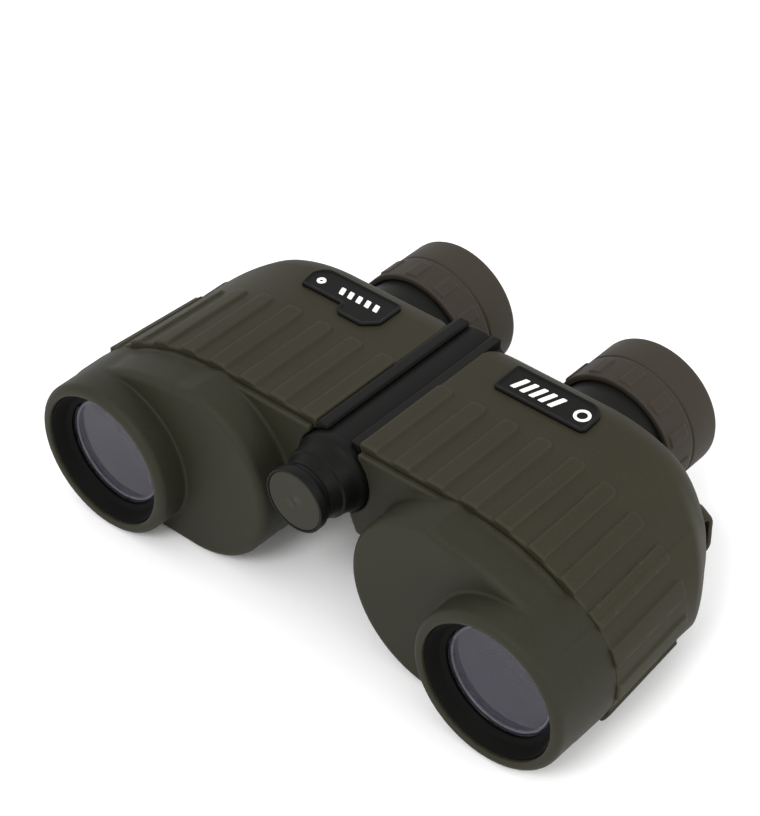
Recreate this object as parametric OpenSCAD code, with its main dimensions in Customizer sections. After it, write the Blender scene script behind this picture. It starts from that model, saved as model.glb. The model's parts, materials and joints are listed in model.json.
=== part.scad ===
// Prism binoculars with two rubber-armoured halves on one hinge and a separate focus on each eyepiece.
// The +Y axis points from the objectives to the eyepieces and +Z points up.
// Parts are drawn for the half on +X, the user's left, and mirrored for the other half.
// Inside the part modules, x = 0 and z = 0 is the hinge axis.

/* [Optical layout] */
// Distance from the hinge axis to each eyepiece axis, sideways
eye_x = 33.6; // [33.2:0.1:34]
// Drop of each eyepiece axis below the hinge axis
eye_drop = 16.2; // [15.8:0.1:16.6]
// Distance from the hinge axis to each objective axis, sideways
obj_x = 64.2; // [63.8:0.1:64.6]
// Drop of each objective axis below the hinge axis
obj_drop = 19.7; // [19.4:0.1:20]
// Radius of the prism faces round each optical axis
prism_r = 8.7; // [8:0.1:8.8]

/* [Body] */
// Height of the deck above the hinge axis
deck_z = 11.3; // [11:0.1:11.6]
// Radius of the inner lobe of the front outline
lobe_r = 26.7; // [26:0.1:27]
// Radius of the bell round each objective
bell_r = 22.2; // [22:0.1:22.6]
// Length of the ribbed armour in front of the hinge's rear end plane
armour_front = 45.2; // [44:0.1:46]
// Rear wall of the armour
armour_rear = 12; // [11:0.1:13]
// Rubber armour thickness
armour_t = 2; // [1.6:0.1:2.2]
// Housing wall thickness
wall = 2.4; // [2:0.1:2.8]

/* [Grip ribs] */
// Number of ribs on each half
rib_count = 11; // [8:1:12]
// Distance between ribs along the surface
rib_pitch = 10.4; // [10:0.1:10.6]
// Width of a rib
rib_w = 5.2; // [4:0.1:6]
// Height of a rib above the armour
rib_h = 0.8; // [0.4:0.1:1]

/* [Eyepieces] */
// Radius of the focus ring and the eyecup
ring_r = 19; // [18.6:0.1:19.4]
// Radius of the fixed eyepiece tube
tube_r = 17; // [16.6:0.1:17.2]
// Number of grip pads on each focus ring
pad_count = 12; // [8:1:14]
// Height of a grip pad
pad_h = 0.5; // [0.3:0.1:0.8]

/* [Hinge] */
// Radius of the hinge cover
barrel_r = 10.9; // [10.6:0.1:11]
// Radius of the hinge shaft
shaft_r = 4; // [3.5:0.1:4.5]
// Radial running clearance of the shaft and of the eyepiece slides
running = 0.06; // [0.03:0.01:0.09]

/* [Hidden] */
$fn = 72;

// Place of the hinge axis in the finished part, so that its origin is the centre of its base
front_y = -66.6;
rear_y = 43.9;
y_shift = -(front_y + rear_y) / 2;
base_z = lobe_r + 15.4;

// Optical axes, objective and eyepiece, and the one between the two prisms
obj = [obj_x, -obj_drop];
eye = [eye_x, -eye_drop];
axis_step = (eye - obj) / 2;
mid = obj + axis_step + [axis_step[1], -axis_step[0]];
prism_step = norm(mid - obj);

// Centres and angles of the body outline
lobe = [41, -15.4];
crown_x = 42;
crown_r = 54.7;
crown_z = deck_z - crown_r;
crown_end = atan2(obj[1] - crown_z, obj[0] - crown_x);
side_r = bell_r + 0.4;
seat_r = barrel_r + 0.4;
seat_top = 50;
seat_low = -64;
taper = 2.2;
corner_r = 28;
corner_x = obj_x + side_r - corner_r - taper + 0.3;
corner_y = armour_rear - corner_r;

// Stations along Y
step_y = -armour_front;
cover_y = -57;
bell_y = -66;
rib_end = -14.9;
plate_y = -16.5;
plate_t = 2;
wall_rear = armour_rear - armour_t;
barrel_front = -47.8;
barrel_rear = 9.8;
cap_y = -61.6;
collar_y = -57;
ring_y = 22.8;
groove_y = 32.9;
pad_y = 24.1;
pad_length = 6.9;
pad_w = 3.8;
pad_phase = 7.8;
tube_end = 30.5;

// Hinge and channel
knuckle_r = 9.5;
shell_t = 1;
shell_to = 122;
foot_from = 36;
foot_to = 46;
channel_r = seat_r + armour_t + 0.1;
knuckle_gap = 0.4;
arm_x = 15.6;
knuckle_a = -29;
knuckle_b = -9;

// Glass surfaces
crown_glass_r = 15.9;
crown_glass_curve = 62;
cell_r = 15.5;
lens_r = 11.15;

function arc(c, r, a0, a1, n) = [for (i = [0:n]) c + r * [cos(a0 + (a1 - a0) * i / n), sin(a0 + (a1 - a0) * i / n)]];

// Angle at which the channel round the hinge meets the deck, for an outline shrunk by t
function seat_end(t) = min(seat_top, asin((deck_z - t - 0.2) / (seat_r + t)));

// Cross-section of one half, shrunk by t all round
function body_outline(t) = concat(
    arc([0, 0], seat_r + t, seat_low + t * 3, seat_end(t), 14),
    [[max(7 + t, (seat_r + t) * cos(seat_end(t))), deck_z - t]],
    arc([crown_x, crown_z], crown_r - t, 90, crown_end, 12),
    arc(obj, side_r - t, crown_end - 8, -86, 16),
    arc(lobe, lobe_r - t, -92, -170, 12),
    [[6.6 + t * 1.2, -17 + t]]
);

// Front outline of the cover: the inner lobe run together with the bell
function cover_outline(t) = concat(
    arc([crown_x - 1, crown_z - 1.5], crown_r - t, 84, crown_end, 8),
    arc(obj, bell_r + 0.1 - t, crown_end - 8, -84, 14),
    arc(lobe, lobe_r - 0.2 - t, -92, -264, 24)
);

// Plan view of one half, shrunk by t: the side draws in towards the rear
function plan_outline(t) = concat(
    [[0, step_y - 30], [obj_x + side_r + 0.3 - t, step_y - 30], [obj_x + side_r + 0.3 - t, step_y]],
    arc([corner_x, corner_y], corner_r - t, 0, 90, 14),
    [[0, armour_rear - t]]
);

module left() {
    translate([0, y_shift, base_z]) children();
}

module right() {
    translate([0, y_shift, base_z]) mirror([1, 0, 0]) children();
}

module along_y(y0, y1) {
    translate([0, y1, 0]) rotate([90, 0, 0]) linear_extrude(y1 - y0) children();
}

module rod(r, y0, y1) {
    translate([0, y0, 0]) rotate([-90, 0, 0]) cylinder(r = r, h = y1 - y0);
}

module turned(points) {
    rotate([-90, 0, 0]) rotate_extrude() polygon(points);
}

module at(p) {
    translate([p[0], 0, p[1]]) children();
}

module block(x0, x1, y0, y1, z0, z1) {
    translate([x0, y0, z0]) cube([x1 - x0, y1 - y0, z1 - z0]);
}

module half_body(t, y0, y1) {
    intersection() {
        along_y(y0, y1) polygon(body_outline(t));
        translate([0, 0, -60]) linear_extrude(90) polygon(plan_outline(t));
    }
}

// Point and outward angle of the armour surface at distance s from the hinge plane
function rib_place(s) =
    let (crown_len = crown_r * (90 - crown_end) * PI / 180)
    s < crown_x ? [s, deck_z, 90] :
    s < crown_x + crown_len ?
        let (a = 90 - (s - crown_x) / crown_r * 180 / PI)
        [crown_x + crown_r * cos(a), crown_z + crown_r * sin(a), a] :
        let (a = crown_end - (s - crown_x - crown_len) / side_r * 180 / PI)
        [obj[0] + side_r * cos(a), obj[1] + side_r * sin(a), a];

module ribs() {
    for (i = [0:rib_count - 1]) {
        p = rib_place(9.8 + i * rib_pitch);
        translate([p[0], 0, p[1]]) rotate([0, 90 - p[2], 0])
            block(-rib_w / 2, rib_w / 2, step_y, rib_end, -armour_t / 2, rib_h);
    }
}

// Rubber skin with raised grip ribs, open round the eyepiece and along the hinge
module armour() {
    color([0.24, 0.23, 0.18]) difference() {
        union() {
            half_body(0, step_y, armour_rear);
            intersection() {
                ribs();
                translate([0, 0, -60]) linear_extrude(90) polygon(plan_outline(-rib_h));
            }
        }
        half_body(armour_t, step_y - 1, wall_rear);
        at_lug() lug_bar();
        rod(channel_r, step_y - 1, armour_rear + 1);
        at(eye) rod(tube_r + 0.5, 0, armour_rear + 1);
    }
}

// Moulded front with the bell round the objective and the flange that closes the housing
module front_cover() {
    color([0.24, 0.23, 0.18]) difference() {
        union() {
            along_y(step_y - 1.8, step_y) polygon(body_outline(1.5));
            along_y(cover_y, step_y) polygon(cover_outline(0));
            at(obj) turned([
                [0, cover_y + 1], [bell_r - 0.4, cover_y + 1], [bell_r - 0.4, cover_y - 1], [bell_r, cover_y - 1],
                [bell_r, bell_y + 1.2], [bell_r - 1.2, bell_y], [0, bell_y]
            ]);
        }
        along_y(cover_y + wall, step_y + 1) polygon(cover_outline(wall + 0.6));
        at(obj) rod(ring_r, bell_y - 1, bell_y + 5);
        at(obj) rod(17.8, bell_y - 1, step_y + 1);
    }
}

// Structural housing with the hinge knuckles, hollow for the prisms
module housing(front_pair) {
    color([0.11, 0.11, 0.11]) difference() {
        union() {
            half_body(armour_t, step_y, wall_rear);
            for (k = knuckles(front_pair)) {
                rod(knuckle_r, k[0], k[1]);
                block(0, arm_x, max(k[0], step_y + 1), k[1], -8, 3);
            }
            at(eye) rod(tube_r, wall_rear - 3, wall_rear + 1.6);
        }
        difference() {
            half_body(armour_t + wall, step_y - 1, wall_rear - wall);
            for (b = screw_places()) at(b) rod(3, plate_y + 1, wall_rear);
        }
        for (k = knuckles(front_pair)) rod(shaft_r + running, k[0] - 1, k[1] + 1);
        at(eye) rod(cell_r - 2, wall_rear - 10, wall_rear + 3);
        at(eye) rod(cell_r, wall_rear - 2, wall_rear + 3);
        for (b = screw_places()) at(b) rod(1.25, plate_y, plate_y + 9);
    }
}

// Ranges along Y of the knuckles: a front and rear pair, or the one between them
function knuckles(front_pair) = front_pair
    ? [[barrel_front, knuckle_a], [knuckle_b, barrel_rear - 1.6]]
    : [[knuckle_a + knuckle_gap, knuckle_b - knuckle_gap]];

// Bosses for the screws that hold the prism plate, clear of the prisms and the walls
function screw_places() = [[24, 0], [70.5, -8.5], [50, -30]];

module objective_ring() {
    color([0.1, 0.1, 0.1]) at(obj) turned([
        [ring_r, bell_y + 5], [ring_r, front_y + 0.5], [ring_r - 0.5, front_y], [17.9, front_y], [17.6, front_y + 0.3],
        [17.6, front_y + 2.2], [crown_glass_r, front_y + 3.8], [crown_glass_r, front_y + 4.2], [17.4, front_y + 4.2],
        [17.4, bell_y + 5]
    ]);
}

module objective_cell() {
    color([0.2, 0.2, 0.2]) at(obj) turned([
        [17.7, bell_y + 5.2], [17.7, step_y + 3], [14.2, step_y + 3], [14.2, bell_y + 12], [16.1, bell_y + 12],
        [16.1, bell_y + 5.2]
    ]);
}

module objective_seal() {
    color([0.06, 0.06, 0.06]) at(obj) rotate([-90, 0, 0]) translate([0, 0, front_y + 4.9])
        rotate_extrude() translate([16.6, 0]) circle(r = 0.6, $fn = 24);
}

// Lens drawn as a turned profile with arcs of the two surface radii; a curve of 0 is flat
function lens_sag(r, curve) = curve == 0 ? 0 : (abs(curve) - sqrt(curve * curve - r * r)) * sign(curve);

module lens(radius, y0, t, front_curve, rear_curve) {
    steps = 10;
    turned(concat(
        [for (i = [0:steps]) [radius * i / steps, y0 + lens_sag(radius * i / steps, front_curve)]],
        [for (i = [steps:-1:0]) [radius * i / steps, y0 + t - lens_sag(radius * i / steps, rear_curve)]]
    ));
}

module objective_crown() {
    color([0.5, 0.48, 0.6, 0.6]) at(obj) lens(crown_glass_r, front_y + 2.9, 4.6, crown_glass_curve, crown_glass_curve);
}

module objective_flint() {
    color([0.5, 0.5, 0.6, 0.6]) at(obj) lens(crown_glass_r, front_y + 7.6, 2.4, -crown_glass_curve, 0);
}

// Right-angle prism with rounded ends; its long face lies at y and its ridge points along dir
module prism(a, b, y, dir) {
    centre = (a + b) / 2;
    turn = -atan2(b[1] - a[1], b[0] - a[0]);
    intersection() {
        translate([centre[0], y, centre[1]]) rotate([0, turn, 0]) translate([0, 0, -prism_r])
            linear_extrude(2 * prism_r)
                polygon([[-prism_step, 0], [prism_step, 0], [1, dir * (prism_step - 1)], [-1, dir * (prism_step - 1)]]);
        union() {
            at(a) rod(prism_r, y - 30, y + 30);
            at(b) rod(prism_r, y - 30, y + 30);
            translate([centre[0], 0, centre[1]]) rotate([0, turn, 0])
                block(-prism_step / 2, prism_step / 2, y - 30, y + 30, -prism_r, prism_r);
        }
    }
}

module rear_prism() {
    color([0.75, 0.8, 0.85, 0.5]) intersection() {
        prism(obj, mid, plate_y + plate_t / 2, 1);
        block(0, 100, plate_y, 4.6, -60, 30);
    }
}

module front_prism() {
    color([0.75, 0.8, 0.85, 0.5]) prism(mid, eye, plate_y - plate_t / 2, -1);
}

module prism_plate() {
    color([0.7, 0.7, 0.72]) difference() {
        half_body(armour_t + wall + 0.2, plate_y - plate_t / 2, plate_y + plate_t / 2);
        for (p = [obj, mid, eye]) at(p) rod(prism_r - 1, plate_y - 3, plate_y + 3);
        for (b = screw_places()) at(b) rod(1.6, plate_y - 3, plate_y + 3);
    }
}

// Sprung straps over the prism ridges, one behind and one in front of the plate
module prism_straps() {
    color([0.75, 0.75, 0.75]) {
        strap((obj + mid) / 2, obj, mid, 4.7, 5.3, plate_y + plate_t / 2);
        strap((mid + eye) / 2, mid, eye, -39.1, -38.5, plate_y - plate_t / 2);
    }
}

module strap(centre, a, b, y0, y1, foot) {
    turn = 90 - atan2(b[1] - a[1], b[0] - a[0]);
    reach = prism_r + 0.8;
    translate([centre[0], 0, centre[1]]) rotate([0, turn, 0]) {
        block(-reach, reach, y0, y1, -2, 2);
        for (x = [-reach, reach - 0.6]) block(x, x + 0.6, min(y0, foot), max(y1, foot), -2, 2);
    }
}

module prism_screws() {
    color([0.6, 0.6, 0.6]) for (b = screw_places()) at(b) {
        rod(1.2, plate_y - plate_t / 2, plate_y + 8);
        rod(2.4, plate_y - plate_t / 2 - 1.4, plate_y - plate_t / 2);
    }
}

module eyepiece_tube() {
    color([0.1, 0.1, 0.1]) at(eye) difference() {
        union() {
            rod(cell_r - 0.05, wall_rear - 2, wall_rear + 3);
            rod(tube_r, wall_rear + 1.6, tube_end);
        }
        rod(cell_r - 1.2, wall_rear - 3, tube_end + 1);
    }
}

// Sliding cell that carries the eyepiece lenses; its rear flange holds the focus ring
module ocular_cell() {
    color([0.13, 0.13, 0.13]) at(eye) difference() {
        union() {
            rod(cell_r - 1.2 - running, 14, 33.5);
            rod(ring_r - 3.2, 33.5, 35);
            rod(13.2, 35, 37);
        }
        rod(11.2, 13, 36.2);
        rod(10.2, 13, 38);
    }
}

module field_lens() {
    color([0.6, 0.6, 0.7, 0.5]) at(eye) lens(lens_r, 15, 4.4, 0, 24);
}

module lens_spacer() {
    color([0.1, 0.1, 0.1]) at(eye) difference() {
        rod(lens_r, 19.4, 29.2);
        rod(9.6, 19, 30);
    }
}

module eye_lens() {
    color([0.6, 0.6, 0.7, 0.5]) at(eye) lens(lens_r, 29.2, 6.6, 40, 28);
}

module focus_ring() {
    color([0.27, 0.25, 0.21]) at(eye) difference() {
        union() {
            rod(ring_r, ring_y, groove_y);
            for (i = [0:pad_count - 1]) rotate([0, i * 360 / pad_count - pad_phase, 0])
                block(ring_r - 1, ring_r + pad_h, pad_y, pad_y + pad_length, -pad_w / 2, pad_w / 2);
        }
        rod(tube_r + running, ring_y - 1, tube_end + 1.9);
        rod(cell_r - 1, ring_y, groove_y + 1);
    }
}

// Rubber eyecup with a rounded rim, hollow behind the eye lens
module eyecup() {
    color([0.27, 0.25, 0.21]) at(eye) turned([
        [ring_r - 3.1, groove_y], [ring_r - 0.3, groove_y], [ring_r - 0.3, groove_y + 0.4], [ring_r, groove_y + 0.5],
        [ring_r, rear_y - 2], [ring_r - 0.6, rear_y - 0.6], [ring_r - 2, rear_y], [ring_r - 3.4, rear_y - 0.6],
        [14.6, rear_y - 3], [13.4, 38], [13.4, 35.2], [ring_r - 3.1, 35.2]
    ]);
}

// Upright loop for a neck strap on the outer rear shoulder, with a slot between its bar and the body
lug_turn = 64;
lug_z = -17;
lug_half = 7;
lug_w = 2.6;
lug_end = 2.4;
lug_out = 3.2;
lug_wall = 1.4;
lug_reach = -10;

module at_lug() {
    translate([corner_x, corner_y, lug_z]) rotate([0, 0, lug_turn - 90]) translate([0, corner_r, 0]) children();
}

module lug_bar() {
    block(-lug_w, lug_w, -armour_t - 1, lug_out, -lug_half, lug_half);
}

module strap_lug() {
    color([0.22, 0.21, 0.17]) difference() {
        at_lug() lug_bar();
        at_lug() block(-lug_w - 1, lug_w + 1, -0.2, lug_out - lug_wall, lug_end - lug_half, lug_half - lug_end);
        half_body(armour_t, lug_reach, wall_rear);
    }
}

// Outlines of the two badges on the deck
function badge_left_points() = [
    [17.7, -6.5], [17.4, 2.7], [18.1, 3.5], [42.2, 3.5], [44.6, 2], [45.8, 0], [46.1, -6.3], [44.9, -7.3], [18.5, -7.3]
];
function badge_right_points() = [
    [20, -6.4], [23.8, -9.9], [31.6, -9.9], [33.3, -8.3], [33.3, -6.4], [47.6, -6.4], [48.6, -1], [47.2, 1.8],
    [44.8, 3.2], [21.2, 3.2], [20, 2]
];

// Badge plate standing on the deck
module badge(points) {
    color([0.08, 0.08, 0.08]) translate([0, 0, deck_z]) linear_extrude(0.7) polygon(points);
}

// Ledge along the inner edge of the deck, standing over the hinge cover
module hinge_strip(inner_x) {
    color([0.1, 0.1, 0.1]) along_y(barrel_front + 0.6, barrel_rear)
        polygon([[inner_x, deck_z], [7, deck_z], [7, deck_z + 0.8], [inner_x + 0.4, deck_z + 0.8]]);
}

// Cover over the top of the knuckles, with a foot that reaches the housing's channel
module hinge_cover() {
    color([0.1, 0.1, 0.1]) {
        along_y(barrel_front, barrel_rear) polygon(concat(
            arc([0, 0], barrel_r, foot_from, shell_to, 20), arc([0, 0], barrel_r - shell_t, shell_to, foot_from, 20)
        ));
        along_y(step_y + 0.5, wall_rear - 0.4) polygon(concat(
            arc([0, 0], barrel_r - shell_t / 2, foot_to, foot_from, 4), arc([0, 0], channel_r - 0.15, foot_from, foot_to, 4)
        ));
    }
}

module hinge_shaft() {
    color([0.6, 0.6, 0.6]) rod(shaft_r, barrel_front - 7, barrel_rear - 0.2);
}

module hinge_collar() {
    color([0.1, 0.1, 0.1]) difference() {
        turned([
            [0, barrel_front], [barrel_r - 0.4, barrel_front], [9.9, barrel_front - 1.4], [9.4, barrel_front - 4],
            [8.2, collar_y], [0, collar_y]
        ]);
        rod(shaft_r, barrel_front - 8, barrel_front + 1);
        rod(6.4, collar_y - 1, barrel_front - 5.2);
    }
}

module tension_nut() {
    color([0.7, 0.7, 0.7]) difference() {
        rod(6.2, collar_y + 0.2, barrel_front - 5.3);
        rod(shaft_r, collar_y - 1, barrel_front);
    }
}

module thrust_washers() {
    color([0.75, 0.65, 0.35]) for (y = [knuckle_a, knuckle_b - knuckle_gap]) difference() {
        rod(8, y + 0.1, y + knuckle_gap - 0.1);
        rod(shaft_r + running, y - 1, y + 1);
    }
}

module hinge_cap() {
    color([0.1, 0.1, 0.1]) difference() {
        turned([[0, collar_y], [8.2, collar_y], [8.6, collar_y - 1.6], [9.1, cap_y + 1.6], [9.1, cap_y + 0.5],
            [8.7, cap_y], [0, cap_y]]);
        rod(8.2, cap_y - 1, cap_y + 0.8);
    }
}

module cap_disc() {
    color([0.27, 0.28, 0.22]) rod(8.2, cap_y + 0.1, cap_y + 0.8);
}

module rear_nut() {
    color([0.15, 0.15, 0.15]) difference() {
        rod(8.4, barrel_rear - 1.6, barrel_rear);
        rod(shaft_r, barrel_rear - 2, barrel_rear - 0.2);
    }
}

left() armour();  // armour_left
right() armour();  // armour_right
left() front_cover();  // front_cover_left
right() front_cover();  // front_cover_right
left() housing(true);  // housing_left
right() housing(false);  // housing_right
left() objective_ring();  // objective_ring_left
right() objective_ring();  // objective_ring_right
left() objective_cell();  // objective_cell_left
right() objective_cell();  // objective_cell_right
left() objective_crown();  // objective_crown_left
right() objective_crown();  // objective_crown_right
left() objective_flint();  // objective_flint_left
right() objective_flint();  // objective_flint_right
left() objective_seal();  // objective_seal_left
right() objective_seal();  // objective_seal_right
left() rear_prism();  // rear_prism_left
right() rear_prism();  // rear_prism_right
left() front_prism();  // front_prism_left
right() front_prism();  // front_prism_right
left() prism_plate();  // prism_plate_left
right() prism_plate();  // prism_plate_right
left() prism_straps();  // prism_straps_left
right() prism_straps();  // prism_straps_right
left() prism_screws();  // prism_screws_left
right() prism_screws();  // prism_screws_right
left() eyepiece_tube();  // eyepiece_tube_left
right() eyepiece_tube();  // eyepiece_tube_right
left() ocular_cell();  // ocular_cell_left
right() ocular_cell();  // ocular_cell_right
left() field_lens();  // field_lens_left
right() field_lens();  // field_lens_right
left() eye_lens();  // eye_lens_left
right() eye_lens();  // eye_lens_right
left() lens_spacer();  // lens_spacer_left
right() lens_spacer();  // lens_spacer_right
left() focus_ring();  // focus_ring_left
right() focus_ring();  // focus_ring_right
left() eyecup();  // eyecup_left
right() eyecup();  // eyecup_right
left() strap_lug();  // strap_lug_left
right() strap_lug();  // strap_lug_right
left() badge(badge_left_points());  // badge_left
right() badge(badge_right_points());  // badge_right
left() hinge_strip(5.6);  // hinge_strip_left
right() hinge_strip(3.1);  // hinge_strip_right
left() hinge_cover();
left() hinge_shaft();
left() hinge_collar();
left() tension_nut();
left() thrust_washers();
left() hinge_cap();
left() cap_disc();
left() rear_nut();
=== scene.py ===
"""Looks of rubber-armoured prism binoculars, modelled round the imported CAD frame.

Moulded pieces are written as distance functions in millimetres, meshed on a grid and then pulled
exactly onto their surface. Turned pieces are lathed from a profile. Both halves use the same shapes.
In a shape function x is the distance from the hinge plane, z the height above the hinge axis and
y the position along the optical axes, in the part's own frame.
"""

import json
import math

import bpy
import numpy as np
from mathutils import Matrix, Vector


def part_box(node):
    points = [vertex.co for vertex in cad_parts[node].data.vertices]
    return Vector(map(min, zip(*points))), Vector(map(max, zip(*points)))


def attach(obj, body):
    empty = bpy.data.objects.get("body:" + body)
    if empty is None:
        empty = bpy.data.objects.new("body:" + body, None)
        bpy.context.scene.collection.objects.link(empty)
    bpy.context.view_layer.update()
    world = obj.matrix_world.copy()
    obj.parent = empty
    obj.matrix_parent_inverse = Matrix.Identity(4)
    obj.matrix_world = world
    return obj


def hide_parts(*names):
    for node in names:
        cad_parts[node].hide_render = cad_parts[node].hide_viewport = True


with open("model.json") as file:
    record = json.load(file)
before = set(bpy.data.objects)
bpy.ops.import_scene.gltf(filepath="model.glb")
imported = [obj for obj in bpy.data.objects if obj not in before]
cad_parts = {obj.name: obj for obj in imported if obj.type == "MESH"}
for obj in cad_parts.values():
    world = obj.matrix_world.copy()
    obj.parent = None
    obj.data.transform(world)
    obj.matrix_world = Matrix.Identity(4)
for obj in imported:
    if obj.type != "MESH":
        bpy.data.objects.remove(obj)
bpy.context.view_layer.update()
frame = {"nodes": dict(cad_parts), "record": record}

MM = 0.001
SIDES = {"left": 1, "right": -1}


# ---------------------------------------------------------------- places, read from the frame

def box_mm(node):
    """Lowest and highest corner of a CAD node in millimetres."""
    low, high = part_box(node)
    return np.array(low) / MM, np.array(high) / MM


def middle(node):
    low, high = box_mm(node)
    return (low + high) / 2


HINGE_Z = middle("hinge_shaft")[2]
OBJ_X, _, OBJ_Z = middle("objective_ring_left") - [0, 0, HINGE_Z]
EYE_X, _, EYE_Z = middle("eyecup_left") - [0, 0, HINGE_Z]
FRONT = box_mm("objective_ring_left")[0][1]
STEP = box_mm("armour_left")[0][1]
REAR = box_mm("armour_left")[1][1]
BARREL_FRONT = box_mm("hinge_cover")[0][1]
BARREL_REAR = box_mm("hinge_cover")[1][1]
CAP_FRONT = box_mm("hinge_cap")[0][1]
CAP_REAR = box_mm("hinge_cap")[1][1]
RING_FRONT, RING_REAR = box_mm("focus_ring_left")[0][1], box_mm("focus_ring_left")[1][1]
CUP_REAR = box_mm("eyecup_left")[1][1]
DECK_Z = box_mm("badge_left")[0][2] - HINGE_Z
# The hinge's own zero on y lies this far in front of the hinge cover's rear end
Y_SHIFT = BARREL_REAR - 9.8
KNUCKLE_A, KNUCKLE_B = Y_SHIFT - 29.0, Y_SHIFT - 9.0
COVER_FRONT = FRONT + 8.7

# Radii about the hinge axis, the objective axis and the eyepiece axis
BARREL_R = 10.9
CHANNEL_R = 11.5
BELL_R = 22.2
RING_R = 19.0
TUBE_R = 17.0

# Circles that make up the cross-section of one half: the inner lobe, the deck and the side
LOBE = np.array([41.0, -15.4])
LOBE_R = 26.7
CROWN_X = 42.0
CROWN_R = 54.7
SIDE_R = BELL_R + 0.4

# Outer rear corner in plan, and how far the side draws in on the way to it
CORNER_R = 26.0
CORNER_X = OBJ_X + SIDE_R - CORNER_R + 0.3
CORNER_Y = REAR - CORNER_R
TAPER = 2.0

# Wall of the rubber armour, and of the moulded front cover
ARMOUR_T = 2.0
COVER_T = 3.2

# Ribs: their rear end, length, spacing along the outline, half width, height and edge slope
RIB_REAR = STEP + 30.3
RIB_LENGTH = 40.0
RIB_PITCH = 10.4
RIB_FIRST = 9.8
RIB_COUNT = 11
RIB_HALF = 2.6
RIB_HEIGHT = 0.8
RIB_SLOPE = 0.22

# Strap lug on the rear shoulder: its turn about the corner, height, reach and half sizes
LUG_TURN = math.radians(64)
LUG_Z = -17.0
LUG_OUT = 3.2
LUG_HALF = 7.0
LUG_W = 2.6

# Largest rounding of the edge between the deck and the outer rear corner
SHOULDER_R = 11.0


# ---------------------------------------------------------------- outlines

def arc(centre, radius, start, end, step=0.35):
    """Points along an arc, angles in degrees, about step millimetres apart."""
    count = max(3, int(abs(math.radians(end - start)) * radius / step))
    a = np.radians(np.linspace(start, end, count + 1))
    return np.array(centre) + radius * np.column_stack([np.cos(a), np.sin(a)])


def dense(points, step=0.35):
    """The closed outline through points with no stretch longer than step."""
    points = np.asarray(points, float)
    out = []
    for a, b in zip(points, np.roll(points, -1, axis=0)):
        count = max(1, int(np.ceil(np.linalg.norm(b - a) / step)))
        out.append(a + (b - a) * np.linspace(0, 1, count, endpoint=False)[:, None])
    return np.vstack(out)


CROWN = np.array([CROWN_X, DECK_Z - CROWN_R])
OBJ = np.array([OBJ_X, OBJ_Z])
EYE = np.array([EYE_X, EYE_Z])
CROWN_END = math.degrees(math.atan2(OBJ[1] - CROWN[1], OBJ[0] - CROWN[0]))


def body_points(channel=BARREL_R + 0.5, low=-66):
    """Cross-section of one half, from the hinge channel over the deck and round the side."""
    return np.vstack([
        arc([0, 0], channel, low, 50),
        [[7.0, DECK_Z]],
        arc(CROWN, CROWN_R, 90, CROWN_END),
        arc(OBJ, SIDE_R, CROWN_END - 1, -87),
        arc(LOBE, LOBE_R, -92, -170),
        [[-17.0 / math.tan(math.radians(low + 1)), -17.0]],
    ])


def cover_points():
    """Front outline of the cover: the inner lobe run together with the bell."""
    return np.vstack([
        arc(CROWN + [-1, -1.5], CROWN_R, 86, CROWN_END),
        arc(OBJ, BELL_R, CROWN_END - 1, -86),
        arc(LOBE, LOBE_R - 0.2, -92, -266),
    ])


class Outline:
    """Signed distance to a closed outline, and the place along it, read from a fine table."""

    cell = 0.25
    margin = 9

    def __init__(self, points, start):
        points = dense(points)
        self.low = points.min(0) - self.margin
        size = np.ceil((points.max(0) + self.margin - self.low) / self.cell).astype(int) + 1
        gx, gz = np.meshgrid(np.arange(size[0]), np.arange(size[1]), indexing="ij")
        spots = np.column_stack([gx.ravel(), gz.ravel()]) * self.cell + self.low
        a, b = points, np.roll(points, -1, axis=0)
        d = b - a
        length = np.linalg.norm(d, axis=1)
        along = np.concatenate([[0], np.cumsum(length)])[:-1]
        along = along - along[np.argmin(np.linalg.norm(points - start, axis=1))] + start[0]
        distance, place = [], []
        for part in np.array_split(spots, len(spots) // 4000 + 1):
            p = part[:, None, :] - a
            t = np.clip((p * d).sum(2) / (length ** 2), 0, 1)
            gap = np.linalg.norm(p - t[:, :, None] * d, axis=2)
            near = gap.argmin(1)
            rows = np.arange(len(part))
            straddles = (a[:, 1] > part[:, 1:2]) != (b[:, 1] > part[:, 1:2])
            slope = np.where(np.abs(d[:, 1]) < 1e-12, 1, d[:, 1])
            crosses = straddles & (part[:, :1] < a[:, 0] + (part[:, 1:2] - a[:, 1]) * d[:, 0] / slope)
            inside = crosses.sum(1) % 2 == 1
            distance.append(np.where(inside, -1, 1) * gap[rows, near])
            place.append(along[near] + t[rows, near] * length[near])
        self.distance = np.concatenate(distance).reshape(size)
        self.place = np.concatenate(place).reshape(size)

    def read(self, table, x, z):
        u = np.clip((x - self.low[0]) / self.cell, 0, table.shape[0] - 1.001)
        v = np.clip((z - self.low[1]) / self.cell, 0, table.shape[1] - 1.001)
        i, j = u.astype(int), v.astype(int)
        u, v = u - i, v - j
        return ((table[i, j] * (1 - v) + table[i, j + 1] * v) * (1 - u)
                + (table[i + 1, j] * (1 - v) + table[i + 1, j + 1] * v) * u)

    def gap(self, x, z):
        return self.read(self.distance, x, z)

    def along(self, x, z):
        return self.read(self.place, x, z)


BODY = Outline(body_points(), np.array([7.0, DECK_Z]))
WEB = Outline(body_points(CHANNEL_R - 1.2, -72), np.array([7.0, DECK_Z]))
COVER = Outline(cover_points(), np.array([OBJ_X, OBJ_Z + BELL_R]))

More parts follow.
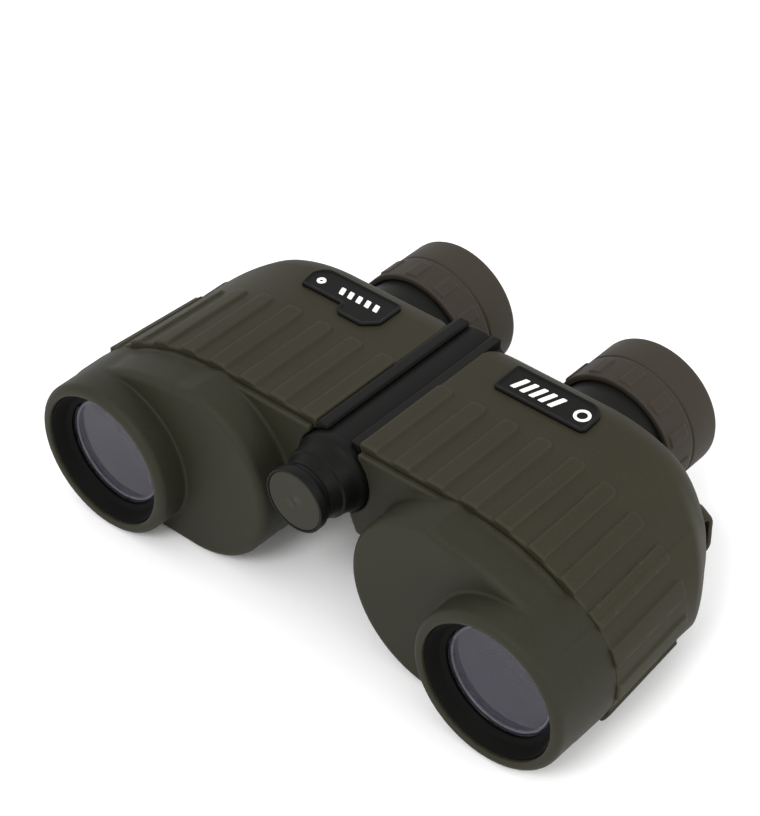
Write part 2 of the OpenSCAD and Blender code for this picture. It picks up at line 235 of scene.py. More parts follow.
# Corners of the two badges seen from above
BADGE_LEFT = [
    (17.7, -6.5), (17.4, 2.7), (18.1, 3.5), (42.2, 3.5), (44.6, 2.0), (45.8, 0.0), (46.1, -6.3), (44.9, -7.3),
    (18.5, -7.3),
]
BADGE_RIGHT = [
    (20.0, -6.4), (23.8, -9.9), (31.6, -9.9), (33.3, -8.3), (33.3, -6.4), (47.6, -6.4), (48.6, -1.0),
    (47.2, 1.8), (44.8, 3.2), (21.2, 3.2), (20.0, 2.0),
]


# ---------------------------------------------------------------- distance function tools

def hard(low, high, value):
    """0 where value is at low, 1 at high, with an eased slope between."""
    t = np.clip((value - low) / (high - low), 0, 1)
    return t * t * (3 - 2 * t)


def both(a, b, r=0.0):
    """Where a and b overlap, with their shared edge rounded to radius r."""
    return np.minimum(np.maximum(a, b), -r) + np.hypot(np.maximum(a + r, 0), np.maximum(b + r, 0))


def either(a, b, r=0.0):
    """a and b joined, with a fillet of radius r where they meet."""
    return -both(-a, -b, r)


def ring_gap(x, z, centre, radius):
    return np.hypot(x - centre[0], z - centre[1]) - radius


def slab(value, low, high, r=0.0):
    return both(low - value, value - high, r)


def rounded_box(x, y, half_x, half_y, r):
    """Distance to a rectangle round the origin with corner radius r."""
    qx, qy = np.abs(x) - half_x + r, np.abs(y) - half_y + r
    return np.hypot(np.maximum(qx, 0), np.maximum(qy, 0)) + np.minimum(np.maximum(qx, qy), 0) - r


# ---------------------------------------------------------------- meshing

CORNERS = [(i, j, k) for i in (0, 1) for j in (0, 1) for k in (0, 1)]
EDGES = [
    (a, b) for a in CORNERS for b in CORNERS
    if sum(b) - sum(a) == 1 and sum(np.abs(np.subtract(a, b))) == 1
]


def settle(shape, points, reach, rounds=3):
    """Moves points along the gradient onto the surface, each at most reach in a round."""
    e = 0.02
    for _ in range(rounds):
        value = shape(*points.T)
        slope = np.column_stack([
            (shape(*(points + e * axis).T) - shape(*(points - e * axis).T)) / (2 * e) for axis in np.eye(3)
        ])
        size = np.maximum((slope ** 2).sum(1), 0.05)
        move = -slope * (value / size)[:, None]
        length = np.maximum(np.linalg.norm(move, axis=1), 1e-9)
        points = points + move * np.minimum(1, reach / length)[:, None]
    return points


def grid_mesh(shape, low, high, cell):
    """Vertices and quads of the surface where shape is zero."""
    low, high = np.array(low, float), np.array(high, float)
    size = np.ceil((high - low) / cell).astype(int) + 1
    ys, zs = low[1] + cell * np.arange(size[1]), low[2] + cell * np.arange(size[2])
    gy, gz = np.meshgrid(ys, zs, indexing="ij")
    value = np.stack([shape(np.full_like(gy, low[0] + cell * i), gy, gz) for i in range(size[0])])
    inside = value < 0
    cut = tuple(n - 1 for n in size)
    count = np.zeros(cut, np.uint8)
    for i, j, k in CORNERS:
        count += inside[i:i + cut[0], j:j + cut[1], k:k + cut[2]]
    active = (count > 0) & (count < 8)
    where = np.argwhere(active)
    number = np.full(cut, -1, np.int64)
    number[active] = np.arange(len(where))
    total, hits = np.zeros((len(where), 3)), np.zeros(len(where))
    for a, b in EDGES:
        fa, fb = (value[tuple((where + corner).T)] for corner in (a, b))
        crossed = (fa < 0) != (fb < 0)
        t = np.where(crossed, fa / np.where(crossed, fa - fb, 1), 0)
        total += np.where(crossed[:, None], np.array(a) + t[:, None] * np.subtract(b, a), 0)
        hits += crossed
    points = low + cell * (where + total / hits[:, None])
    quads = []
    for axis in range(3):
        u, v = (axis + 1) % 3, (axis + 2) % 3
        here = [slice(None)] * 3
        there = [slice(None)] * 3
        here[axis], there[axis] = slice(0, -1), slice(1, None)
        first, second = inside[tuple(here)], inside[tuple(there)]
        spot = np.argwhere(first != second)
        keep = np.all([(spot[:, w] > 0) & (spot[:, w] < size[w] - 1) for w in (u, v)], axis=0)
        spot = spot[keep]
        outward = first[tuple(spot.T)]
        corners = []
        for du, dv in ((-1, -1), (0, -1), (0, 0), (-1, 0)):
            cell_at = spot.copy()
            cell_at[:, u] += du
            cell_at[:, v] += dv
            corners.append(number[tuple(cell_at.T)])
        quad = np.column_stack(corners)
        quads.append(np.where(outward[:, None], quad, quad[:, ::-1]))
    return settle(shape, points, cell * 0.6), np.vstack(quads)


def lathe(profile, centre, segments=144, closed=True):
    """Vertices and faces of a profile of (radius, y) turned about the line through centre along y.
    A closed profile is a ring; an open one starts and ends on the axis."""
    profile = np.array(profile, float)
    angle = np.linspace(0, 2 * np.pi, segments, endpoint=False)
    rows = len(profile)
    x = centre[0] + profile[:, :1] * np.cos(angle)
    z = centre[1] + profile[:, :1] * np.sin(angle)
    y = np.repeat(profile[:, 1:], segments, axis=1)
    points = np.stack([x, y, z], 2).reshape(-1, 3)
    faces = []
    for r in range(rows if closed else rows - 1):
        n = (r + 1) % rows
        for s in range(segments):
            t = (s + 1) % segments
            faces.append((r * segments + s, n * segments + s, n * segments + t, r * segments + t))
    return points, faces


def rounded(profile, radius=0.3, steps=4, closed=True):
    """A profile with each inner corner turned into a short curve."""
    points = [np.array(p[:2], float) for p in profile]
    radii = [p[2] if len(p) > 2 else radius for p in profile]
    out = []
    count = len(points)
    for i, p in enumerate(points):
        if not closed and i in (0, count - 1):
            out.append(p)
            continue
        before, after = points[i - 1] - p, points[(i + 1) % count] - p
        reach = min(radii[i], np.linalg.norm(before) * 0.45, np.linalg.norm(after) * 0.45)
        if reach < 1e-4:
            out.append(p)
            continue
        start = p + before / np.linalg.norm(before) * reach
        end = p + after / np.linalg.norm(after) * reach
        for t in np.linspace(0, 1, steps + 1):
            out.append((1 - t) ** 2 * start + 2 * t * (1 - t) * p + t * t * end)
    return out


def make(name, points, faces, material, body, nodes, side=1):
    """Adds one piece, given in millimetres round the hinge axis, and rides it on its body."""
    points = np.array(points, float) * [side, 1, 1]
    faces = np.array(faces)
    if side < 0:
        faces = faces[:, ::-1]
    points[:, 2] += HINGE_Z
    mesh = bpy.data.meshes.new(name)
    mesh.from_pydata((points * MM).tolist(), [], faces.tolist())
    mesh.validate()
    mesh.polygons.foreach_set("use_smooth", [True] * len(mesh.polygons))
    mesh.materials.append(material)
    piece = bpy.data.objects.new(name, mesh)
    bpy.context.scene.collection.objects.link(piece)
    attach(piece, body)
    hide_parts(*nodes)


# ---------------------------------------------------------------- materials

def nodes_of(name):
    material = bpy.data.materials.new(name)
    material.use_nodes = True
    tree = material.node_tree
    shader = tree.nodes["Principled BSDF"]
    return material, tree, shader


def link(tree, a, out, b, into):
    tree.links.new(a.outputs[out], b.inputs[into])


def noise(tree, scale, detail):
    """Noise in the piece's own frame; scale is in features per metre."""
    coords = tree.nodes.new("ShaderNodeTexCoord")
    node = tree.nodes.new("ShaderNodeTexNoise")
    node.inputs["Scale"].default_value = scale
    node.inputs["Detail"].default_value = detail
    node.inputs["Roughness"].default_value = 0.55
    link(tree, coords, "Object", node, "Vector")
    return node


def ramp(tree, source, out, stops):
    """Colour ramp between two stops, each a position and a colour."""
    node = tree.nodes.new("ShaderNodeValToRGB")
    for element, (position, colour) in zip(node.color_ramp.elements, stops):
        element.position, element.color = position, (*colour, 1)
    link(tree, source, out, node, "Fac")
    return node


def shade(colour, factor):
    return tuple(c * factor for c in colour)


def moulded(name, colour, roughness=0.6, grain=2600.0, depth=0.00004, patchy=0.10, worn=1.35, specular=0.13):
    """Moulded rubber or plastic: patchy tone, paler worn edges, fine grain in bump and roughness."""
    material, tree, shader = nodes_of(name)
    patches = noise(tree, 55.0, 4.0)
    tone = ramp(tree, patches, "Fac", [(0.3, shade(colour, 1 - patchy)), (0.7, shade(colour, 1 + patchy))])
    fine = noise(tree, grain, 2.0)
    speckle = ramp(tree, fine, "Fac", [(0.35, (0.86,) * 3), (0.65, (1.12,) * 3)])
    mixed = tree.nodes.new("ShaderNodeMix")
    mixed.data_type, mixed.blend_type = "RGBA", "MULTIPLY"
    mixed.inputs["Factor"].default_value = 1.0
    link(tree, tone, "Color", mixed, 6)
    link(tree, speckle, "Color", mixed, 7)
    edges = tree.nodes.new("ShaderNodeNewGeometry")
    edge = ramp(tree, edges, "Pointiness", [(0.505, (0, 0, 0)), (0.56, (1, 1, 1))])
    wear = tree.nodes.new("ShaderNodeMix")
    wear.data_type, wear.blend_type = "RGBA", "MIX"
    link(tree, edge, "Color", wear, "Factor")
    link(tree, mixed, 2, wear, 6)
    wear.inputs[7].default_value = (*shade(colour, worn), 1)
    link(tree, wear, 2, shader, "Base Color")
    rough = ramp(tree, fine, "Fac", [(0.3, (roughness - 0.06,) * 3), (0.7, (roughness + 0.06,) * 3)])
    link(tree, rough, "Color", shader, "Roughness")
    bump = tree.nodes.new("ShaderNodeBump")
    bump.inputs["Strength"].default_value = 0.5
    bump.inputs["Distance"].default_value = depth
    link(tree, fine, "Fac", bump, "Height")
    link(tree, bump, "Normal", shader, "Normal")
    shader.inputs["Specular IOR Level"].default_value = specular
    return material


def metal(name, colour, roughness=0.3):
    """Machined metal with fine turned streaks."""
    material, tree, shader = nodes_of(name)
    streaks = noise(tree, 900.0, 2.0)
    tone = ramp(tree, streaks, "Fac", [(0.3, shade(colour, 0.85)), (0.7, shade(colour, 1.1))])
    link(tree, tone, "Color", shader, "Base Color")
    rough = ramp(tree, streaks, "Fac", [(0.3, (roughness - 0.08,) * 3), (0.7, (roughness + 0.08,) * 3)])
    link(tree, rough, "Color", shader, "Roughness")
    shader.inputs["Metallic"].default_value = 1.0
    return material


def lens_with_painted_reflection(name, painted_reflection_tint, cover):
    """Thin coated lens: mostly clear, with a dim violet base colour that is a painted reflection of its
    coating, and a real glossy reflection.
    """
    material, tree, shader = nodes_of(name)
    # painted reflection: the violet tint, varied a little by noise, is laid on as the lens's base colour
    smear = noise(tree, 40.0, 2.0)
    tone = ramp(tree, smear, "Fac", [(0.3, shade(painted_reflection_tint, 0.85)), (0.7, shade(painted_reflection_tint, 1.15))])
    link(tree, tone, "Color", shader, "Base Color")
    shader.inputs["Alpha"].default_value = cover
    shader.inputs["Roughness"].default_value = 0.08
    shader.inputs["Specular IOR Level"].default_value = 0.5
    return material


def clear_glass(name, tint):
    """Optical glass for the pieces inside."""
    material, tree, shader = nodes_of(name)
    smear = noise(tree, 90.0, 2.0)
    tone = ramp(tree, smear, "Fac", [(0.3, shade(tint, 0.94)), (0.7, tint)])
    link(tree, tone, "Color", shader, "Base Color")
    shader.inputs["Transmission Weight"].default_value = 1.0
    shader.inputs["Roughness"].default_value = 0.0
    shader.inputs["IOR"].default_value = 1.52
    shader.inputs["Specular IOR Level"].default_value = 0.3
    return material


OLIVE = (0.0225, 0.0205, 0.0115)
COVER_OLIVE = (0.0190, 0.0180, 0.0108)
EYE_OLIVE = (0.0285, 0.0236, 0.0170)
BLACK = (0.0034, 0.0034, 0.0031)

ARMOUR = moulded("armour_rubber", OLIVE, 0.62, patchy=0.05)
COVER_SKIN = moulded("cover_rubber", COVER_OLIVE, 0.58, patchy=0.05)
EYE_RUBBER = moulded("eyepiece_rubber", EYE_OLIVE, 0.6, patchy=0.05)
BLACK_PLASTIC = moulded("black_plastic", BLACK, 0.5, grain=3200.0, depth=0.00002, worn=1.8, specular=0.10)
HOUSING = moulded("housing_plastic", shade(BLACK, 0.8), 0.6)
BADGE = moulded("badge_plastic", BLACK, 0.4, grain=4000.0, depth=0.00001, worn=2.0, specular=0.08)
MARK = moulded("badge_mark", (0.82, 0.82, 0.80), 0.45, patchy=0.02, worn=1.0)
CAP_OLIVE = moulded("cap_plastic", (0.022, 0.021, 0.014), 0.55, specular=0.12)
INNER_BLACK = moulded("inner_black", (0.006, 0.006, 0.006), 0.7)
# painted reflection: the crown lens and the coated CAD glass carry a dim violet-grey base colour in place of
# the coating's reflection
COATED_WITH_PAINTED_REFLECTION = lens_with_painted_reflection("coated_glass", (0.030, 0.030, 0.045), 0.3)
# painted reflection: the flint lens is an opaque violet-grey surface standing in for the studio's reflection
# in the doublet
REAR_PAINTED_REFLECTION = moulded("rear_element_painted_reflection", (0.034, 0.032, 0.046), 0.16, grain=120.0, depth=0.0, patchy=0.06,
                     worn=1.5, specular=0.5)
# painted highlight: the pale rim colour stands in for the highlight along the lens rim
LENS_RIM_PAINTED_HIGHLIGHT = moulded("lens_rim_painted_highlight", (0.16, 0.155, 0.175), 0.3, grain=900.0, depth=0.0, patchy=0.2, worn=1.2)
BAFFLE = moulded("baffle_black", (0.0035, 0.0035, 0.0032), 0.7, specular=0.06)
PRISM = clear_glass("prism_glass", (0.95, 0.97, 1.0))
STEEL = metal("shaft_steel", (0.55, 0.55, 0.55))
BRASS = metal("washer_brass", (0.66, 0.48, 0.2))
ALUMINIUM = metal("plate_metal", (0.7, 0.7, 0.72), 0.4)

SLOT_MATERIALS = {
    "armour_rubber": ARMOUR, "cover_rubber": COVER_SKIN, "eyepiece_rubber": EYE_RUBBER,
    "housing_plastic": HOUSING, "black_plastic": BLACK_PLASTIC, "badge_plastic": BADGE,
    "coated_glass": COATED_WITH_PAINTED_REFLECTION, "prism_glass": PRISM, "seal_rubber": INNER_BLACK, "plate_metal": ALUMINIUM,
    "cell_metal": INNER_BLACK, "spring_steel": STEEL, "shaft_steel": STEEL, "washer_brass": BRASS,
    "cap_plastic": CAP_OLIVE,
}


def dress_cad():
    """Gives every CAD node its procedural material."""
    for part in frame["record"]["subparts"]:
        piece = frame["nodes"][part["node"]]
        piece.data.materials.clear()
        piece.data.materials.append(SLOT_MATERIALS[part["material_slot"]])


# ---------------------------------------------------------------- moulded shapes

def drawn_in(x, y):
    """The side of the body draws in towards the rear by TAPER; this undoes it."""
    return x + TAPER * np.clip((y - STEP) / (CORNER_Y - STEP), 0, 1) * hard(42, 82, x)


def half_body(x, y, z):
    """One half without its ribs: the cross-section cut to its plan, its rear edge well rounded."""
    x = drawn_in(x, y)
    px, py = np.maximum(x - CORNER_X, 0), np.maximum(y - CORNER_Y, 0)
    soft = SHOULDER_R * hard(2.0, 17.0, py)
    return both(BODY.gap(x, z), np.hypot(px, py) - CORNER_R, soft)


def rib_height(x, y, z):
    s = BODY.along(drawn_in(x, y), z)
    number = np.clip(np.round((s - RIB_FIRST) / RIB_PITCH), 0, RIB_COUNT - 1)
    across = s - RIB_FIRST - number * RIB_PITCH
    edge = rounded_box(across, y - (RIB_REAR - RIB_LENGTH / 2), RIB_HALF, RIB_LENGTH / 2, 1.5)
    return RIB_HEIGHT * hard(RIB_SLOPE, -RIB_SLOPE, edge)


def armour(x, y, z):
    body = half_body(x, y, z)
    outer = both(body - rib_height(x, y, z), STEP - y, 0.3)
    shell = both(outer, -body - ARMOUR_T)
    shell = both(shell, CHANNEL_R - np.hypot(x, z), 0.2)
    return both(shell, -ring_gap(x, z, EYE, TUBE_R + 0.3), 0.5)


def housing(x, y, z):
    """The hard shell under the armour, seen in the hinge channel and round the eyepiece."""
    body = half_body(x, y, z)
    shell = both(body + ARMOUR_T + 0.05, -body - 4.4)
    shell = both(shell, STEP + 0.1 - y)
    return both(shell, -ring_gap(x, z, EYE, 13.5))


def knuckle(first, last):
    """A hinge knuckle between two places, with the arm that joins it to the housing."""
    def shape(x, y, z):
        bore = 4.06 - np.hypot(x, z)
        tube = both(np.hypot(x, z) - 9.5, bore)
        arm = both(slab(x, 0, 15.2), slab(z, -8, 3, 0.6))
        arm = both(arm, STEP + 1 - y)
        arm = both(arm, bore)
        return both(either(tube, arm, 1.2), slab(y, first, last), 0.2)
    return shape


def front_cover(x, y, z):
    """The moulded cover: its rounded box and the bell run together, and a web joins them to the hinge.

    The box stands a little proud of the bell over the shoulder, and draws in to meet it lower down."""
    sides = COVER.gap(x, z)
    angle = np.degrees(np.arctan2(z - OBJ_Z, x - OBJ_X))
    low_side = hard(30, 8, np.abs(angle))
    shoulder = hard(12, 36, angle) * hard(110, 80, angle)
    draft = 0.6 * low_side * hard(STEP, COVER_FRONT - 4, y) + 0.2 * hard(STEP - 1.0, STEP - 0.5, y)
    egg = both(sides + draft - 0.35 * shoulder * hard(STEP, STEP - 4, y), COVER_FRONT - y, 2.1)
    bell = both(ring_gap(x, z, OBJ, BELL_R + 0.15), FRONT - 0.1 - y, 1.9)
    solid = either(egg, bell, 0.5)
    body = WEB.gap(x, z)
    plate = both(body + 2.6, STEP - 0.8 - y, 0.3)
    flange = both(body + 1.2, slab(y, STEP - 1.9, STEP), 0.35)
    solid = either(solid, either(plate, flange, 0.3), 0.9 * hard(1.4, 3.0, -body))
    solid = both(solid, y - STEP - 0.3)
    hollow = both(sides + COVER_T, COVER_FRONT + 2.6 - y)
    solid = both(solid, -hollow)
    return both(solid, -ring_gap(x, z, OBJ, RING_R + 0.3), 0.25)


def hinge_cover(x, y, z):
    radius = np.hypot(x, z)
    shell = both(radius - BARREL_R, BARREL_R - 1.0 - radius, 0.2)
    shell = both(shell, slab(y, BARREL_FRONT, BARREL_REAR), 0.3)
    first, last = math.radians(36), math.radians(122)
    ends = both(x * math.sin(first) - z * math.cos(first), z * math.cos(last) - x * math.sin(last))
    return both(shell, ends, 0.2)


def hinge_strip(inner_x, ridge):
    """Filler between the hinge cover and the edge of the deck, with a ridge of that height or none."""
    def shape(x, y, z):
        body = both(slab(x, inner_x, 7.15), z - DECK_Z - 0.05)
        solid = both(body, BARREL_R + 0.2 - np.hypot(x, z), 0.1)
        if ridge:
            rim = both(slab(x, inner_x + 0.2, 6.3, 0.5), slab(z, DECK_Z - 1.0, DECK_Z + ridge, 0.5), 0.4)
            solid = either(solid, both(rim, BARREL_R + 0.25 - np.hypot(x, z)), 0.2)
        return both(solid, slab(y, BARREL_FRONT + 2.4, BARREL_REAR - 0.2), 0.3)
    return shape


def badge_marks(first, height, ring_x):
    """Plain pattern on a badge: a row of five slanted bars and a ring."""
    pitch, slant = 2.9, 0.35
    def shape(x, y, z):
        v = y - Y_SHIFT + 2.2
        u = x - first - slant * v
        number = np.clip(np.round(u / pitch), 0, 4)
        bars = rounded_box(u - pitch * number, v, 0.75, height / 2, 0.2)
        radius = np.hypot(x - ring_x, v)
        ring = both(radius - height / 2, height / 2 - 0.9 - radius)
        return both(np.minimum(bars, ring), slab(z - DECK_Z, 0.5, 0.8), 0.05)
    return shape


def badge(outline):
    """A plate on the deck with a raised border."""
    def shape(x, y, z):
        edge = outline.gap(x, y)
        height = z - DECK_Z
        dish = 0.35 * hard(-0.7, -1.1, edge)
        return both(edge, slab(height, -0.4, 0.95 - dish, 0.15), 0.25)
    return shape


def lug_frame(x, y, z):
    """Along the shoulder, outward from it and up, from the middle of the strap lug."""
    dx, dy = x - CORNER_X + TAPER, y - CORNER_Y
    out = dx * math.cos(LUG_TURN) + dy * math.sin(LUG_TURN)
    return dy * math.cos(LUG_TURN) - dx * math.sin(LUG_TURN), out - CORNER_R, z - LUG_Z


def strap_lug(x, y, z):
    along, out, up = lug_frame(x, y, z)
    half = LUG_HALF - 2.4 * np.clip(out / LUG_OUT, 0, 1) ** 2
    bar = both(np.abs(up) - half, out - LUG_OUT, 1.4)
    bar = both(bar, np.abs(along) - LUG_W, 0.8)
    bar = both(bar, -half_body(x, y, z) - ARMOUR_T)
    slot = both(rounded_box(up, out - 0.8, 4.4, 1.0, 0.6), np.abs(along) - 8)
    return both(bar, -slot, 0.3)


def focus_ring(x, y, z):
    """The ring with twelve raised pads round it."""
    radius, angle = np.hypot(x - EYE_X, z - EYE_Z), np.arctan2(z - EYE_Z, x - EYE_X)
    ring = both(radius - RING_R, slab(y, RING_FRONT, RING_REAR), 0.5)
    pitch = 2 * np.pi / 12
    first = math.radians(-7)
    around = ((angle - first + pitch / 2) % pitch - pitch / 2) * RING_R
    pad = rounded_box(around, y - (RING_FRONT + 4.75), 1.9, 3.45, 0.4)
    ring = ring - 0.5 * hard(0.12, -0.18, pad)
    return both(ring, TUBE_R + 0.3 - radius, 0.2)


def both_sides(name, shape, low, high, cell, material, body="{}_half"):
    """The same moulded piece on both halves; body is the pattern of its body's name."""
    points, faces = grid_mesh(shape, low, high, cell)
    for side, sign in SIDES.items():
        make(f"{name}_{side}_skin", points, faces, material, body.format(side), [f"{name}_{side}"],
             sign)


def build_moulded():
    both_sides("armour", armour, (5, STEP - 1, -45), (90, REAR + 1, 14), 0.55, ARMOUR)
    both_sides("front_cover", front_cover, (3, FRONT - 1, -45), (89, STEP + 1, 13.5), 0.55, COVER_SKIN)
    both_sides("focus_ring", focus_ring, (EYE_X - 21, RING_FRONT - 1, EYE_Z - 21),
               (EYE_X + 21, RING_REAR + 1, EYE_Z + 21), 0.4, EYE_RUBBER, "focus_ring_{}")
    points, faces = grid_mesh(hinge_cover, (-12, BARREL_FRONT - 1, -1), (12, BARREL_REAR + 1, 12), 0.4)
    make("hinge_cover_skin", points, faces, BLACK_PLASTIC, "left_half", ["hinge_cover"])
    both_sides("housing", housing, (4, STEP - 1, -45), (88, REAR, 11), 0.9, HOUSING)
    both_sides("strap_lug", strap_lug, (64, 4 + Y_SHIFT, -25), (76, 15 + Y_SHIFT, -9), 0.35, ARMOUR)
    build_hinge_shapes()
    build_badges()


def build_hinge_shapes():
    """Knuckles that take the hinge shaft in turn, and the black strips along the deck's edges."""
    for side, places in {"left": [(BARREL_FRONT, KNUCKLE_A), (KNUCKLE_B, BARREL_REAR - 1.6)],
                         "right": [(KNUCKLE_A + 0.4, KNUCKLE_B - 0.4)]}.items():
        for number, place in enumerate(places):
            points, faces = grid_mesh(knuckle(*place), (-11, place[0] - 1, -11), (17, place[1] + 1, 11), 0.5)
            make(f"knuckle_{side}_{number}", points, faces, HOUSING, f"{side}_half", [f"housing_{side}"],
                 SIDES[side])
    for side, inner_x, ridge in (("left", 4.6, 0.0), ("right", 3.1, 0.75)):
        points, faces = grid_mesh(hinge_strip(inner_x, ridge), (2, BARREL_FRONT - 1, 7),
                                  (9, BARREL_REAR + 1, 13.5), 0.3)
        make(f"hinge_strip_{side}_skin", points, faces, BLACK_PLASTIC, f"{side}_half",
             [f"hinge_strip_{side}"], SIDES[side])


def build_badges():
    for side, corners in (("left", BADGE_LEFT), ("right", BADGE_RIGHT)):
        edge = np.array(rounded([(x, y + Y_SHIFT, 1.0) for x, y in corners]))
        outline = Outline(edge, np.array([20.0, Y_SHIFT]))
        points, faces = grid_mesh(badge(outline), (15, Y_SHIFT - 12, DECK_Z - 2),
                                  (51, Y_SHIFT + 6, DECK_Z + 2.4), 0.3)
        make(f"badge_{side}_skin", points, faces, BADGE, f"{side}_half", [f"badge_{side}"],
             SIDES[side])
    for side, first, height, ring_x in (("left", 22.6, 4.6, 42.0), ("right", 25.0, 2.6, 44.0)):
        points, faces = grid_mesh(badge_marks(first, height, ring_x), (19, Y_SHIFT - 6, DECK_Z + 0.3),
                                  (48, Y_SHIFT + 2, DECK_Z + 1.2), 0.2)
        make(f"badge_marks_{side}", points, faces, MARK, f"{side}_half", [f"badge_{side}"],
             SIDES[side])


# ---------------------------------------------------------------- turned shapes

def turned(name, profile, centre, material, body, nodes, side=1, closed=True, radius=0.3):
    """A lathed piece; radius rounds each corner of the profile that doesn't give its own."""
    points, faces = lathe(rounded(profile, radius, closed=closed), centre, closed=closed)
    make(name, points, faces, material, body, nodes, side)


def lens_profile(radius, front, thickness, front_curve, rear_curve):
    """From the axis over the front surface, round the edge and back to the axis."""
    def sag(r, curve):
        return math.copysign(abs(curve) - math.sqrt(curve * curve - r * r), curve)
    steps = np.linspace(0.002, 1, 13) * radius
    return ([(r, front + sag(r, front_curve)) for r in steps]
            + [(r, front + thickness - sag(r, rear_curve)) for r in steps[::-1]])


def build_turned():
    for side, sign in SIDES.items():
        turned(f"eyecup_{side}_skin", [
            (RING_R - 3.1, RING_REAR), (RING_R - 0.5, RING_REAR, 0.2), (RING_R - 0.4, RING_REAR + 0.35, 0.2),
            (RING_R, RING_REAR + 0.7, 0.3), (RING_R, CUP_REAR - 0.05, 2.6), (RING_R - 3.6, CUP_REAR, 2.0),
            (14.6, CUP_REAR - 3.4, 1.5), (13.4, RING_REAR + 5.1, 0.3), (13.4, RING_REAR + 2.3),
            (RING_R - 3.1, RING_REAR + 2.3),
        ], EYE, EYE_RUBBER, f"focus_ring_{side}", [f"eyecup_{side}"], sign)
        turned(f"objective_ring_{side}_skin", [
            (RING_R + 0.2, FRONT + 5.5), (RING_R + 0.2, FRONT + 0.9, 0.2), (18.7, FRONT + 0.8, 0.3),
            (17.0, FRONT + 4.0, 0.3), (15.7, FRONT + 4.6, 0.2), (15.7, FRONT + 5.0), (17.4, FRONT + 5.0),
            (17.4, FRONT + 5.5),
        ], OBJ, BAFFLE, f"{side}_half", [f"objective_ring_{side}"], sign)
        # the flint carries the painted reflection of the doublet in its colour
        for lens, profile, material in (
            ("crown", lens_profile(15.9, FRONT + 3.4, 4.4, 62.0, 62.0), COATED_WITH_PAINTED_REFLECTION),
            ("flint", lens_profile(15.6, FRONT + 8.2, 3.0, -62.0, 200.0), REAR_PAINTED_REFLECTION),
        ):
            turned(f"objective_{lens}_{side}_skin", profile, OBJ, material, f"{side}_half",
                   [f"objective_{lens}_{side}"], sign, closed=False, radius=0)
        # painted highlight: a pale ring round the flint stands in for the highlight on the lens rim
        turned(f"lens_lip_painted_highlight_{side}", [
            (14.5, FRONT + 6.8), (14.5, FRONT + 5.9, 0.15), (14.8, FRONT + 5.8, 0.15), (15.1, FRONT + 5.8),
            (15.1, FRONT + 6.8),
        ], OBJ, LENS_RIM_PAINTED_HIGHLIGHT, f"{side}_half", [f"objective_flint_{side}"], sign)
    axis = (0.0, 0.0)
    turned("hinge_collar_skin", [
        (9.7, BARREL_FRONT + 2.2), (11.2, BARREL_FRONT + 2.2, 0.2), (11.2, BARREL_FRONT - 0.1, 0.7),
        (10.2, BARREL_FRONT - 1.8, 2.0), (9.6, BARREL_FRONT - 5.6, 0.25), (9.0, BARREL_FRONT - 5.9, 0.2),
        (8.4, CAP_REAR + 0.6, 0.4), (8.4, CAP_REAR), (4.1, CAP_REAR), (4.1, BARREL_FRONT),
        (9.7, BARREL_FRONT),
    ], axis, BLACK_PLASTIC, "left_half", ["hinge_collar"])
    turned("hinge_cap_skin", [
        (0.3, CAP_REAR), (8.2, CAP_REAR, 0.2), (8.4, CAP_REAR - 1.2, 0.8), (9.1, CAP_FRONT + 2.4, 0.6),
        (9.1, CAP_FRONT, 0.35), (8.45, CAP_FRONT, 0.15), (8.4, CAP_FRONT + 0.7, 0.05), (0.3, CAP_FRONT + 0.7),
    ], axis, BLACK_PLASTIC, "left_half", ["hinge_cap"])
    turned("cap_disc_skin", [
        (0.01, CAP_FRONT + 0.7), (8.3, CAP_FRONT + 0.7, 0.1), (8.3, CAP_FRONT + 0.12, 0.2),
        *((r, CAP_FRONT + 0.1, 0) for r in (7.2, 6.2, 4.8, 3.2, 1.6, 0.01)),
    ], axis, CAP_OLIVE, "left_half", ["cap_disc"])


# ---------------------------------------------------------------- camera, light and floor

VIEW_AZIMUTH = 41.44
VIEW_ELEVATION = 39.56
VIEW_ROLL = -0.74
VIEW_DISTANCE = 0.640
VIEW_LENS = 109.75
LIGHT_AIM = Vector((0, 0, 0.02))


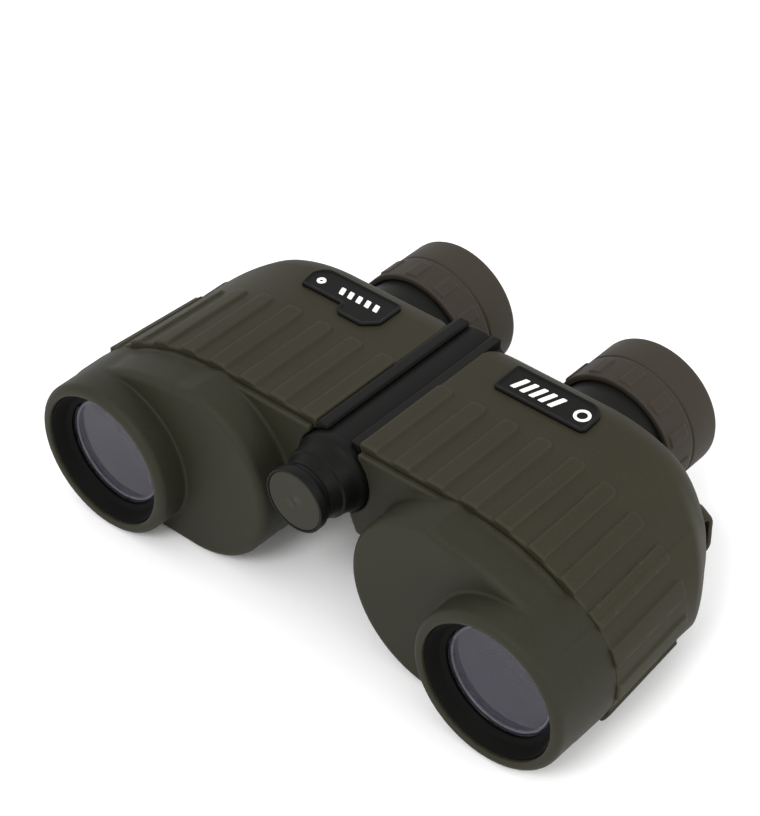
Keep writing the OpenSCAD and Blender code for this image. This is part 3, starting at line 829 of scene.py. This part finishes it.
def set_camera():
    """Looks at a point near the middle of the hinge from above and one side."""
    aim = Vector((-11.7, Y_SHIFT - 16.24, HINGE_Z - 5.37)) * MM
    a, e, roll = (math.radians(v) for v in (VIEW_AZIMUTH, VIEW_ELEVATION, VIEW_ROLL))
    back = Vector((math.sin(a) * math.cos(e), -math.cos(a) * math.cos(e), math.sin(e)))
    level = Vector((math.cos(a), math.sin(a), 0))
    rise = back.cross(level)
    right = math.cos(roll) * level + math.sin(roll) * rise
    up = math.cos(roll) * rise - math.sin(roll) * level
    data = bpy.data.cameras.new("camera")
    data.sensor_width, data.lens, data.clip_start, data.clip_end = 36.0, VIEW_LENS, 0.01, 20.0
    camera = bpy.data.objects.new("camera", data)
    turn = Matrix((right, up, back)).transposed().to_4x4()
    camera.matrix_world = Matrix.Translation(aim + back * VIEW_DISTANCE) @ turn
    bpy.context.scene.collection.objects.link(camera)
    bpy.context.scene.camera = camera


def area_light(name, place, size, power):
    data = bpy.data.lights.new(name, "AREA")
    data.shape, data.size, data.energy = "DISK", size, power
    lamp = bpy.data.objects.new(name, data)
    lamp.location = place
    lamp.rotation_euler = (LIGHT_AIM - Vector(place)).to_track_quat("-Z", "Y").to_euler()
    bpy.context.scene.collection.objects.link(lamp)


def set_stage():
    """White surroundings, two soft lamps and a pale floor."""
    world = bpy.data.worlds.new("studio")
    world.use_nodes = True
    world.node_tree.nodes["Background"].inputs["Color"].default_value = (1.0, 1.0, 1.0, 1)
    world.node_tree.nodes["Background"].inputs["Strength"].default_value = 1.25
    bpy.context.scene.world = world
    area_light("key", (0.2, -0.9, 1.0), 0.5, 7.0)
    area_light("side", (1.1, 0.3, 0.8), 0.7, 4.0)
    material, tree, shader = nodes_of("floor")
    cloud = noise(tree, 3.0, 2.0)
    tone = ramp(tree, cloud, "Fac", [(0.3, (0.93, 0.93, 0.93)), (0.7, (0.95, 0.95, 0.95))])
    link(tree, tone, "Color", shader, "Base Color")
    shader.inputs["Roughness"].default_value = 0.9
    shader.inputs["Specular IOR Level"].default_value = 0.0
    bpy.ops.mesh.primitive_plane_add(size=12, location=(0, 0, 0))
    floor = bpy.context.object
    floor.name = "floor"
    floor.data.materials.append(material)
    bpy.context.scene.view_settings.view_transform = "Standard"


dress_cad()
build_moulded()
build_turned()
set_camera()
set_stage()
